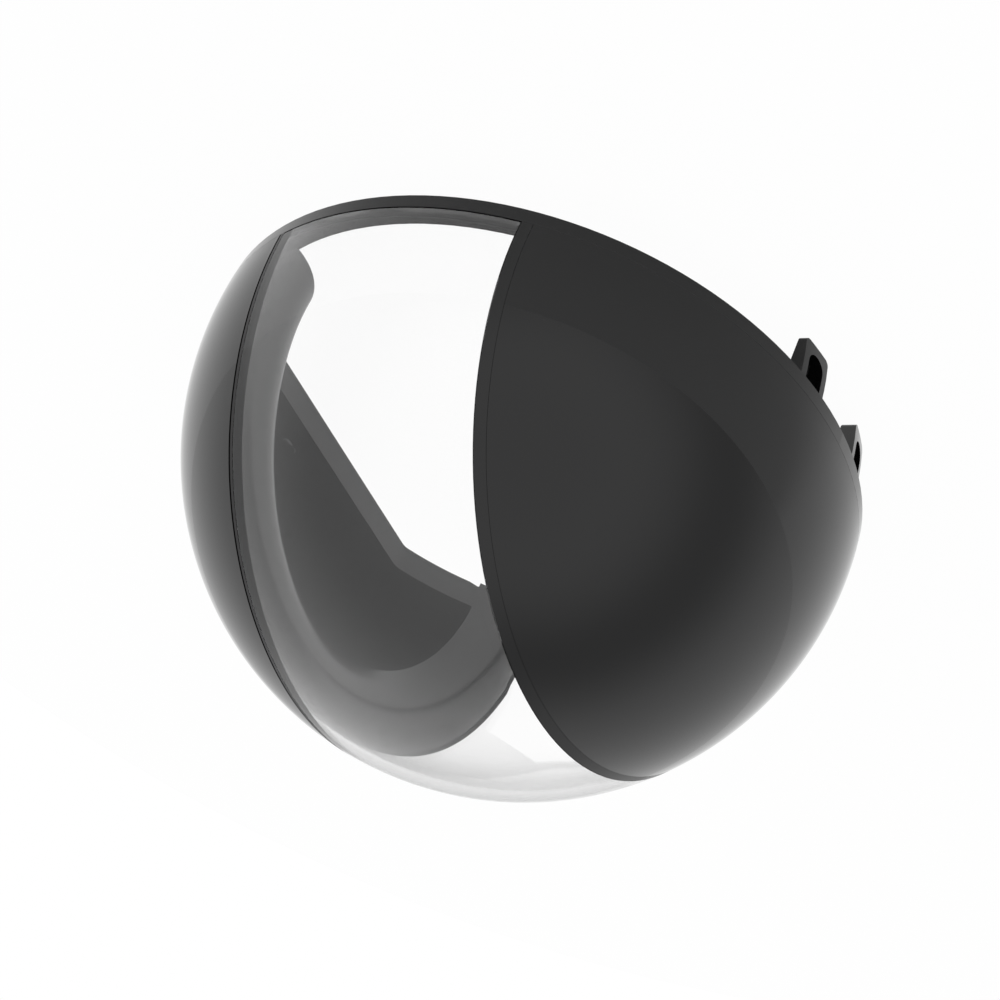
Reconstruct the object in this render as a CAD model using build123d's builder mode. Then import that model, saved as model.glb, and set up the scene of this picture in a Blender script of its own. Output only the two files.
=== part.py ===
"""Camera dome cover: a base ring with clip tabs, a clear window strip over the top, a cheek shell on
each side of it and, behind each cheek, a side frame that carries the window's and the cheek's edges."""
from build123d import *
import math
import os

# Overall form, in millimetres: the clip tabs' tips stand on z = 0 and the dome's axis is Z
dome_radius = 60.0
shell_wall = 2.0
tab_reach = 9.1
centre_rise = 5.3

# Base ring
ring_height = 2.8
ring_width = 4.9
ring_edge_round = 0.1

# Clip tabs and the arched catch recess in each
tab_width = 6.9
tab_spacing = 21.7
tab_depth = 5.8
tab_inset = 0.85
tab_tip_round = 1.0
tab_root = 1.0
recess_width = 4.3
recess_tip_margin = 2.0
recess_floor = 0.6

# Window strip and its gap over the ring
window_half_width = 23.2
window_gap = 0.3

# Side frame: rounded web with a hole, and the rim band between window and cheek
fit_clearance = 0.15
window_seam = 0.1
right_rim_band = 1.8
right_cheek_seam = 0.05
left_rim_band = 0.7
left_cheek_seam = 0.4
web_wall = 1.8
web_inset = 0.5
web_round = 14.0
web_drop = 15.2
web_depth = 4.3
ledge_depth = 2.0
ledge_width = 2.4

# Foot plate and the camera opening that it frames
plate_height = 4.9
plate_wall = 2.0
plate_rim_width = 9.7
plate_side_width = 18.3
opening_corner_round = 2.5
slot_length = 4.2
slot_width = 1.4
slot_offset = 6.0
slot_along = 6.8

# Heights above the tabs' tips
ring_bottom = tab_reach
ring_top = ring_bottom + ring_height
plate_top = ring_top + plate_height
dome_centre = ring_bottom + centre_rise
centre_point = (0, 0, dome_centre)

# Radii about the dome's centre or axis
inner_radius = dome_radius - shell_wall
ledge_radius = inner_radius - fit_clearance
ledge_inner_radius = ledge_radius - ledge_depth
ring_inner_radius = dome_radius - ring_width
plate_radius = inner_radius - 2 * fit_clearance
opening_radius = plate_radius - plate_rim_width

# Distances from the middle plane, towards one side
tab_inner_x = dome_radius - tab_depth
band_start = window_half_width + window_seam
right_band_end = band_start + right_rim_band
right_cheek_start = right_band_end + right_cheek_seam
left_band_end = band_start + left_rim_band
left_cheek_start = left_band_end + left_cheek_seam
ledge_end = max(right_cheek_start, left_cheek_start) + ledge_width
web_edge = window_half_width - web_inset
web_edge_back = web_edge + web_wall
web_blank_front = web_edge - web_depth
hole_front = web_edge + web_depth
opening_chord = plate_radius - plate_side_width


def sphere_section(radius, distance):
    """Radius of the circle that a plane at this distance from the centre cuts from a sphere."""
    return math.sqrt(radius**2 - distance**2)


# Base ring: its outer face carries on the dome's surface
ring_outer_bottom = sphere_section(dome_radius, dome_centre - ring_bottom)
ring_outer_top = sphere_section(dome_radius, dome_centre - ring_top)
arch_height = recess_tip_margin + recess_width / 2

with BuildPart() as base_ring:
    # Clip tabs, whose outer faces follow a sphere just inside the dome's surface
    with BuildSketch(Plane.XY):
        with GridLocations(dome_radius + tab_inner_x, tab_spacing, 2, 2):
            Rectangle(tab_depth, tab_width)
    extrude(amount=ring_bottom + tab_root)
    with Locations(centre_point):
        Sphere(dome_radius - tab_inset, mode=Mode.INTERSECT)
    tip_corners = base_ring.edges().filter_by(Axis.X).group_by(Axis.Z)[0]
    fillet(tip_corners, tab_tip_round)

    # Arched catch recesses in the outer faces, running up to the ring and closed at the back
    for side in (-1, 1):
        with BuildSketch(Plane.YZ.offset(side * (tab_inner_x + recess_floor))):
            with Locations((-tab_spacing / 2, arch_height), (tab_spacing / 2, arch_height)):
                Circle(recess_width / 2)
                Rectangle(recess_width, ring_bottom - arch_height, align=(Align.CENTER, Align.MIN))
        extrude(amount=side * tab_depth, mode=Mode.SUBTRACT)

    # The ring itself, revolved about the dome's axis
    with BuildSketch(Plane.XZ):
        with BuildLine():
            Line((ring_inner_radius, ring_bottom), (ring_outer_bottom, ring_bottom))
            RadiusArc((ring_outer_bottom, ring_bottom), (ring_outer_top, ring_top), -dome_radius)
            Line((ring_outer_top, ring_top), (ring_inner_radius, ring_top))
            Line((ring_inner_radius, ring_top), (ring_inner_radius, ring_bottom))
        make_face()
    revolve(axis=Axis.Z)
    top_circles = base_ring.edges().filter_by(GeomType.CIRCLE).group_by(Axis.Z)[-1]
    fillet(top_circles.sort_by(SortBy.RADIUS)[-1], ring_edge_round)

# Window strip: the middle slice of the dome's shell, held between the side frames
section_plane = Plane(origin=centre_point, x_dir=(1, 0, 0), z_dir=(0, -1, 0))
level_axis = Axis(centre_point, (1, 0, 0))
window_outer_edge = sphere_section(dome_radius, window_half_width)
window_inner_edge = sphere_section(inner_radius, window_half_width)

with BuildPart() as window_strip:
    with BuildSketch(section_plane):
        with BuildLine():
            RadiusArc(
                (-window_half_width, window_outer_edge), (window_half_width, window_outer_edge), dome_radius
            )
            Line((window_half_width, window_outer_edge), (window_half_width, window_inner_edge))
            RadiusArc(
                (window_half_width, window_inner_edge), (-window_half_width, window_inner_edge), -inner_radius
            )
            Line((-window_half_width, window_inner_edge), (-window_half_width, window_outer_edge))
        make_face()
    revolve(axis=level_axis)
    split(bisect_by=Plane.XY.offset(ring_top + window_gap), keep=Keep.TOP)

# Side frame on the right: the section of its web and rim is drawn as distance from the middle
# and radius about a level axis through the dome's centre
web_edge_radius = sphere_section(ledge_radius, web_edge)
hole_radius = web_edge_radius - web_drop
hole_lean = math.atan2(web_depth, web_drop) + math.asin(math.hypot(web_depth, web_drop) / (2 * web_round))
back_hole_x = hole_front + web_wall * math.cos(hole_lean)
back_hole_radius = hole_radius + web_wall * math.sin(hole_lean)
web_back_radius = sphere_section(ledge_inner_radius, web_edge_back)

with BuildPart() as right_side_frame:
    # Foot plate on the ring, with the camera opening through it
    with BuildSketch(Plane.XY.offset(ring_top)):
        Circle(plate_radius)
        with BuildSketch(mode=Mode.SUBTRACT):
            Circle(opening_radius)
            Rectangle(2 * opening_chord, 2 * opening_radius, mode=Mode.INTERSECT)
        Rectangle(plate_radius, 2 * plate_radius, align=(Align.MIN, Align.CENTER), mode=Mode.INTERSECT)
    extrude(amount=plate_height)
    opening_corners = right_side_frame.edges().filter_by(Axis.Z).filter_by_position(
        Axis.X, opening_chord - fit_clearance, opening_chord + fit_clearance
    )
    fillet(opening_corners, opening_corner_round)

    # The plate is a tray that is open below
    with BuildSketch(Plane.XY.offset(ring_top)):
        Circle(plate_radius - plate_wall)
        with BuildSketch(mode=Mode.SUBTRACT):
            Circle(opening_radius + plate_wall)
            Rectangle(
                2 * (opening_chord + plate_wall),
                2 * (opening_radius + plate_wall),
                mode=Mode.INTERSECT,
            )
        with Locations((web_edge_back + plate_wall, 0)):
            Rectangle(plate_radius, 2 * plate_radius, align=(Align.MIN, Align.CENTER), mode=Mode.INTERSECT)
    extrude(amount=plate_height - plate_wall, mode=Mode.SUBTRACT)
    with BuildSketch(Plane.XY.offset(plate_top)):
        with Locations((opening_chord + slot_offset, slot_along)):
            SlotOverall(slot_length, slot_width, rotation=90)
    extrude(amount=-plate_height, mode=Mode.SUBTRACT)

    # Web, still thick in front, ledge under the window's and the cheek's edges, and the band between them
    with BuildSketch(section_plane):
        with BuildLine():
            Polyline(
                (web_edge, web_edge_radius),
                (web_blank_front, web_edge_radius),
                (web_blank_front, hole_radius),
                (hole_front, hole_radius),
                (back_hole_x, back_hole_radius),
            )
            RadiusArc(
                (back_hole_x, back_hole_radius), (web_edge_back, web_back_radius), web_round - web_wall
            )
            Polyline(
                (web_edge_back, web_back_radius),
                (ledge_end, sphere_section(ledge_inner_radius, ledge_end)),
                (ledge_end, sphere_section(ledge_radius, ledge_end)),
                (right_band_end, sphere_section(ledge_radius, right_band_end)),
                (right_band_end, sphere_section(dome_radius, right_band_end)),
                (band_start, sphere_section(dome_radius, band_start)),
                (band_start, sphere_section(ledge_radius, band_start)),
                (web_edge, web_edge_radius),
            )
        make_face()
    revolve(axis=level_axis)

    # Room for the camera bay, which gives the web its rounded front
    with BuildSketch(section_plane):
        with BuildLine():
            Polyline(
                (0, 0),
                (0, dome_radius),
                (web_edge, dome_radius),
                (web_edge, web_edge_radius),
            )
            RadiusArc((web_edge, web_edge_radius), (hole_front, hole_radius), -web_round)
            Polyline((hole_front, hole_radius), (hole_front, 0), (0, 0))
        make_face()
    revolve(axis=level_axis, mode=Mode.SUBTRACT)
    split(bisect_by=Plane.XY.offset(ring_top), keep=Keep.TOP)

# Side frame on the left: the right one's mirror image, with its own width of rim band
with BuildPart() as left_side_frame:
    mirror(right_side_frame.part, about=Plane.YZ)
    with BuildSketch(section_plane):
        with BuildLine():
            Polyline(
                (-left_band_end, sphere_section(ledge_radius, left_band_end)),
                (-left_band_end, dome_radius),
                (-ledge_end, dome_radius),
                (-ledge_end, sphere_section(ledge_radius, ledge_end)),
                close=True,
            )
        make_face()
    revolve(axis=level_axis, mode=Mode.SUBTRACT)

# Cheek shells, standing on the ring
with BuildPart() as right_cheek:
    with Locations(centre_point):
        Sphere(dome_radius)
        Sphere(inner_radius, mode=Mode.SUBTRACT)
    split(bisect_by=Plane.XY.offset(ring_top), keep=Keep.TOP)
    split(bisect_by=Plane.YZ.offset(right_cheek_start), keep=Keep.TOP)

with BuildPart() as left_cheek:
    with Locations(centre_point):
        Sphere(dome_radius)
        Sphere(inner_radius, mode=Mode.SUBTRACT)
    split(bisect_by=Plane.XY.offset(ring_top), keep=Keep.TOP)
    split(bisect_by=Plane.YZ.offset(-left_cheek_start), keep=Keep.BOTTOM)

os.makedirs("parts", exist_ok=True)
for piece, label in (
    (base_ring, "base_ring"),
    (window_strip, "window_strip"),
    (right_side_frame, "right_side_frame"),
    (left_side_frame, "left_side_frame"),
    (right_cheek, "right_cheek"),
    (left_cheek, "left_cheek"),
):
    piece.part.label = label
    export_step(piece.part, f"parts/{label}.step")
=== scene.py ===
"""Looks of the camera dome cover: dark plastic, a clear strip, a white floor and soft white light."""
import math

import bpy
from mathutils import Matrix, Vector

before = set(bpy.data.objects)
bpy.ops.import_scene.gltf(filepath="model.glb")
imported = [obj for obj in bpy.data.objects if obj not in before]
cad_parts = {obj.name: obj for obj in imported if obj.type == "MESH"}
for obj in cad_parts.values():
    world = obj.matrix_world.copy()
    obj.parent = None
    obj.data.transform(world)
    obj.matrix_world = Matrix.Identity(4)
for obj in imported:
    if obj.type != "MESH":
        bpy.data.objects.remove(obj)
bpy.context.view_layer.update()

# The camera, in metres in the row frame; its lens and its sensor are in millimetres
CAMERA_PLACE = Vector((0.30481, 0.3874, 0.3568))
CAMERA_AIM = Vector((-0.00359, -0.00292, 0.02133))
CAMERA_UP = Vector((0.0, 0.652, -0.759))
CAMERA_LENS = 123.3
CAMERA_SENSOR = 36.0

# Floor, in metres: the glow is the share of its white that no light or shadow changes, and reflections
# lose that glow along the dim way, between the two distances from the dome's axis
FLOOR_RADIUS = 0.2
FLOOR_CORNERS = 64
FLOOR_COLOUR = (1.0, 1.0, 1.0, 1.0)
FLOOR_GLOW = 0.97
FLOOR_DIM_WAY = (0.57, 0.82, 0.0)
FLOOR_BRIGHT_TO = 0.022
FLOOR_DIM_FROM = 0.052

# Surroundings: each front stop is a place, from -1 behind the object to 1 in front of it, and its
# brightness; towards the top of the view the brightness falls from the start on, down to the share
BACKGROUND_COLOUR = (1.0, 1.0, 1.0, 1.0)
FRONT_DIRECTION = (0.514, 0.651, 0.559)
FRONT_STOPS = ((-1.0, 0.84), (-0.5, 0.9), (-0.15, 0.9), (0.08, 0.66), (0.28, 0.5), (0.48, 0.58),
               (0.66, 0.84), (0.84, 1.0), (1.0, 0.92))
TOP_DIRECTION = (-0.31, 0.55, -0.775)
TOP_START = 0.6
TOP_SHARE = 0.6

# Both plastics: the refractive index, and the Layer Weight blend that makes slant one minus the cosine
PLASTIC_IOR = 1.5
SLANT_BLEND = 0.5

# Dark plastic: over the moulded surface's waves the colour grows up to its factor and the roughness by
# its spread; the height is in metres, and each satin stop is a slant and the shine at that slant
DARK_COLOUR = (0.0025, 0.0025, 0.0027, 1.0)
DARK_COLOUR_FACTOR = 1.4
GLOSS_ROUGHNESS = 0.03
SATIN_ROUGHNESS = 0.18
ROUGHNESS_SPREAD = 0.02
SATIN_STOPS = ((0.25, 0.5), (0.5, 0.25), (0.85, 0.02))
WAVE_SCALE = 60.0
WAVE_DETAIL = 3.0
WAVE_HEIGHT = 0.00002
WAVE_STRENGTH = 0.1

# Clear plastic: its long sides start at this X in metres and carry painted shade where they meet the
# frames, and its edge is where the slant is largest
CLEAR_SIDE_X = 0.02315
CLEAR_SIDE_PAINTED_SHADE = (0.02, 0.02, 0.02, 1.0)
CLEAR_EDGE_START = 0.5
CLEAR_EDGE_LEVEL = 0.35
CLEAR_ABSORPTION_PER_METRE = 2.0
ABSORPTION_GREY = 0.5


def new_material(name):
    """An empty node material with its output; gives the material, its nodes and its links."""
    material = bpy.data.materials.new(name)
    material.use_nodes = True
    nodes = material.node_tree.nodes
    nodes.clear()
    output = nodes.new("ShaderNodeOutputMaterial")
    return material, nodes, material.node_tree.links, output


def calculated(nodes, links, operation, *terms):
    """The result of a math operation on the terms, each of them an output or a number."""
    node = nodes.new("ShaderNodeMath")
    node.operation = operation
    for socket, term in zip(node.inputs, terms):
        if isinstance(term, float):
            socket.default_value = term
        else:
            links.new(term, socket)
    return node.outputs["Value"]


def along(nodes, links, vector, way):
    """How far the vector goes along the way, which is their dot product."""
    node = nodes.new("ShaderNodeVectorMath")
    node.operation = "DOT_PRODUCT"
    node.inputs[1].default_value = way
    links.new(vector, node.inputs[0])
    return node.outputs["Value"]


def mapped(nodes, links, value, old_range, new_range, interpolation="LINEAR"):
    """The value taken from the old range to the new one and kept inside it."""
    node = nodes.new("ShaderNodeMapRange")
    node.interpolation_type = interpolation
    node.inputs["From Min"].default_value, node.inputs["From Max"].default_value = old_range
    node.inputs["To Min"].default_value, node.inputs["To Max"].default_value = new_range
    links.new(value, node.inputs["Value"])
    return node.outputs["Result"]


def grey_ramp(nodes, links, value, stops, interpolation="LINEAR"):
    """The grey of the value on a ramp through the stops, each a place from 0 to 1 and a level."""
    node = nodes.new("ShaderNodeValToRGB")
    node.color_ramp.interpolation = interpolation
    elements = node.color_ramp.elements
    while len(elements) < len(stops):
        elements.new(1.0)
    for element, (place, level) in zip(elements, stops):
        element.position = place
        element.color = (level, level, level, 1.0)
    links.new(value, node.inputs["Fac"])
    return node.outputs["Color"]


def slant(nodes):
    """How far the surface turns from the view: 0 seen straight on, 1 seen along it."""
    node = nodes.new("ShaderNodeLayerWeight")
    node.inputs["Blend"].default_value = SLANT_BLEND
    return node.outputs["Facing"]


def dark_plastic(name, least_roughness):
    """Near-black moulded plastic, whose roughness and surface vary very slightly."""
    material, nodes, links, output = new_material(name)
    shader = nodes.new("ShaderNodeBsdfPrincipled")
    shader.inputs["IOR"].default_value = PLASTIC_IOR
    place = nodes.new("ShaderNodeTexCoord")
    noise = nodes.new("ShaderNodeTexNoise")
    noise.inputs["Scale"].default_value = WAVE_SCALE
    noise.inputs["Detail"].default_value = WAVE_DETAIL
    links.new(place.outputs["Object"], noise.inputs["Vector"])
    waves = noise.outputs["Fac"]
    roughness_range = (least_roughness, least_roughness + ROUGHNESS_SPREAD)
    links.new(mapped(nodes, links, waves, (0.0, 1.0), roughness_range), shader.inputs["Roughness"])
    colour = nodes.new("ShaderNodeValToRGB")
    darkest, lightest = colour.color_ramp.elements
    darkest.color = DARK_COLOUR
    lightest.color = tuple(DARK_COLOUR_FACTOR * share for share in DARK_COLOUR[:3]) + (1.0,)
    links.new(waves, colour.inputs["Fac"])
    links.new(colour.outputs["Color"], shader.inputs["Base Color"])
    bump = nodes.new("ShaderNodeBump")
    bump.inputs["Strength"].default_value = WAVE_STRENGTH
    bump.inputs["Distance"].default_value = WAVE_HEIGHT
    links.new(waves, bump.inputs["Height"])
    links.new(bump.outputs["Normal"], shader.inputs["Normal"])
    links.new(shader.outputs["BSDF"], output.inputs["Surface"])
    return material


def satin_plastic():
    """The dark plastic with a duller finish, which shines less where it is looked at along its surface."""
    material = dark_plastic("satin_plastic", SATIN_ROUGHNESS)
    nodes = material.node_tree.nodes
    links = material.node_tree.links
    shine = grey_ramp(nodes, links, slant(nodes), SATIN_STOPS)
    links.new(shine, nodes["Principled BSDF"].inputs["Specular IOR Level"])
    return material


def clear_plastic():
    """Clear moulded plastic that passes less light along its surface and has painted shade on its two long
    sides, where they meet the frames.
    """
    material, nodes, links, output = new_material("clear_plastic")
    shader = nodes.new("ShaderNodeBsdfPrincipled")
    shader.inputs["Roughness"].default_value = 0.0
    shader.inputs["IOR"].default_value = PLASTIC_IOR
    shader.inputs["Transmission Weight"].default_value = 1.0
    edge_stops = ((CLEAR_EDGE_START, 1.0), (1.0, CLEAR_EDGE_LEVEL))
    passed = grey_ramp(nodes, links, slant(nodes), edge_stops, "EASE")
    place = nodes.new("ShaderNodeTexCoord")
    axes = nodes.new("ShaderNodeSeparateXYZ")
    links.new(place.outputs["Object"], axes.inputs["Vector"])
    off_middle = calculated(nodes, links, "ABSOLUTE", axes.outputs["X"])
    # Painted shade: the long side faces, where the strip meets the frames, are coloured near black.
    colour = nodes.new("ShaderNodeMixRGB")
    colour.inputs["Color2"].default_value = CLEAR_SIDE_PAINTED_SHADE
    links.new(calculated(nodes, links, "GREATER_THAN", off_middle, CLEAR_SIDE_X), colour.inputs["Fac"])
    links.new(passed, colour.inputs["Color1"])
    links.new(colour.outputs["Color"], shader.inputs["Base Color"])
    absorption = nodes.new("ShaderNodeVolumeAbsorption")
    absorption.inputs["Color"].default_value = (ABSORPTION_GREY, ABSORPTION_GREY, ABSORPTION_GREY, 1.0)
    absorption.inputs["Density"].default_value = CLEAR_ABSORPTION_PER_METRE / (1 - ABSORPTION_GREY)
    links.new(shader.outputs["BSDF"], output.inputs["Surface"])
    links.new(absorption.outputs["Volume"], output.inputs["Volume"])
    return material


def white_floor():
    """White floor that shows as white to the camera, in the clear strip and in most reflections."""
    material, nodes, links, output = new_material("white_floor")
    diffuse = nodes.new("ShaderNodeBsdfDiffuse")
    diffuse.inputs["Color"].default_value = FLOOR_COLOUR
    glow = nodes.new("ShaderNodeEmission")
    glow.inputs["Color"].default_value = FLOOR_COLOUR
    place = nodes.new("ShaderNodeTexCoord").outputs["Object"]
    dim_distance = along(nodes, links, place, FLOOR_DIM_WAY)
    dim_range = (FLOOR_BRIGHT_TO, FLOOR_DIM_FROM)
    kept = mapped(nodes, links, dim_distance, dim_range, (1.0, 0.0), "SMOOTHSTEP")
    path = nodes.new("ShaderNodeLightPath")
    reflected = calculated(nodes, links, "MULTIPLY", path.outputs["Is Glossy Ray"], kept)
    seen = calculated(nodes, links, "MAXIMUM", path.outputs["Is Camera Ray"], reflected)
    seen = calculated(nodes, links, "MAXIMUM", seen, path.outputs["Is Transmission Ray"])
    mix = nodes.new("ShaderNodeMixShader")
    links.new(calculated(nodes, links, "MULTIPLY", seen, FLOOR_GLOW), mix.inputs["Fac"])
    links.new(diffuse.outputs["BSDF"], mix.inputs[1])
    links.new(glow.outputs["Emission"], mix.inputs[2])
    links.new(mix.outputs["Shader"], output.inputs["Surface"])
    return material


def dress(piece, material):
    """Puts the material on the piece."""
    piece.data.materials.clear()
    piece.data.materials.append(material)


def add_floor():
    """A round floor in the plane of the clip tabs' tips."""
    mesh = bpy.data.meshes.new("floor")
    turns = [2 * math.pi * index / FLOOR_CORNERS for index in range(FLOOR_CORNERS)]
    corners = [(FLOOR_RADIUS * math.cos(turn), FLOOR_RADIUS * math.sin(turn), 0) for turn in turns]
    mesh.from_pydata(corners, [], [tuple(range(FLOOR_CORNERS))])
    floor = bpy.data.objects.new("floor", mesh)
    bpy.context.scene.collection.objects.link(floor)
    dress(floor, white_floor())


def add_camera():
    """The photograph's camera, which looks down on the dome from the side and is rolled over."""
    camera_data = bpy.data.cameras.new("camera")
    camera_data.lens = CAMERA_LENS
    camera_data.sensor_width = CAMERA_SENSOR
    camera = bpy.data.objects.new("camera", camera_data)
    bpy.context.scene.collection.objects.link(camera)
    forward = (CAMERA_AIM - CAMERA_PLACE).normalized()
    right = forward.cross(CAMERA_UP).normalized()
    up = right.cross(forward)
    turn = Matrix((right, up, -forward)).transposed()
    camera.matrix_world = Matrix.Translation(CAMERA_PLACE) @ turn.to_4x4()
    bpy.context.scene.camera = camera


def add_light():
    """Soft white surroundings, dimmer between the front and the back and towards the top of the view."""
    world = bpy.data.worlds.new("world")
    world.use_nodes = True
    nodes = world.node_tree.nodes
    links = world.node_tree.links
    direction = nodes.new("ShaderNodeTexCoord").outputs["Generated"]
    front = mapped(nodes, links, along(nodes, links, direction, FRONT_DIRECTION), (-1.0, 1.0), (0.0, 1.0))
    ramp_stops = [((place + 1) / 2, level) for place, level in FRONT_STOPS]
    brightness = grey_ramp(nodes, links, front, ramp_stops, "B_SPLINE")
    to_top = along(nodes, links, direction, TOP_DIRECTION)
    top = mapped(nodes, links, to_top, (TOP_START, 1.0), (1.0, TOP_SHARE), "SMOOTHSTEP")
    level = calculated(nodes, links, "MULTIPLY", brightness, top)
    path = nodes.new("ShaderNodeLightPath")
    rays = path.outputs
    seen = calculated(nodes, links, "MAXIMUM", rays["Is Camera Ray"], rays["Is Transmission Ray"])
    background = nodes["Background"]
    background.inputs["Color"].default_value = BACKGROUND_COLOUR
    links.new(calculated(nodes, links, "MAXIMUM", level, seen), background.inputs["Strength"])
    bpy.context.scene.world = world


gloss = dark_plastic("gloss_plastic", GLOSS_ROUGHNESS)
satin = satin_plastic()
finishes = {"window_strip": clear_plastic(), "right_side_frame": satin, "left_side_frame": satin}
for name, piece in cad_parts.items():
    dress(piece, finishes.get(name, gloss))

add_floor()
add_camera()
add_light()
bpy.context.scene.view_settings.view_transform = "Standard"
